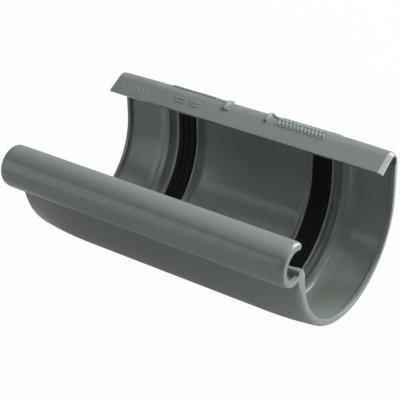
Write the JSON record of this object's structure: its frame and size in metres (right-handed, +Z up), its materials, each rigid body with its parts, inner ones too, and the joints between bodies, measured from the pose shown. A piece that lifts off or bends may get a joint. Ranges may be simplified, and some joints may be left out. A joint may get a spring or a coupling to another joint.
{
  "type": "gutter union",
  "caption": "Half-round gutter union with a bead roll in front, a hooked back edge, ribbed sockets at both ends and a rubber seal in each, to join lengths of gutter.",
  "frame": {"origin": "on the axis of the half-round trough, at mid-length", "axes": "+X along the gutter, +Y out of the flat back wall towards the building, +Z up out of the open trough; the bead roll stands towards -Y"},
  "size_m": [0.1506, 0.0986, 0.0677],
  "materials": {
    "moulded_pvc": "grey rigid PVC, satin moulded surface",
    "epdm_seal": "black EPDM rubber"
  },
  "bodies": {
    "root": {"union_body": "moulded_pvc", "seal_left": "epdm_seal", "seal_right": "epdm_seal"}
  },
  "joints": []
}
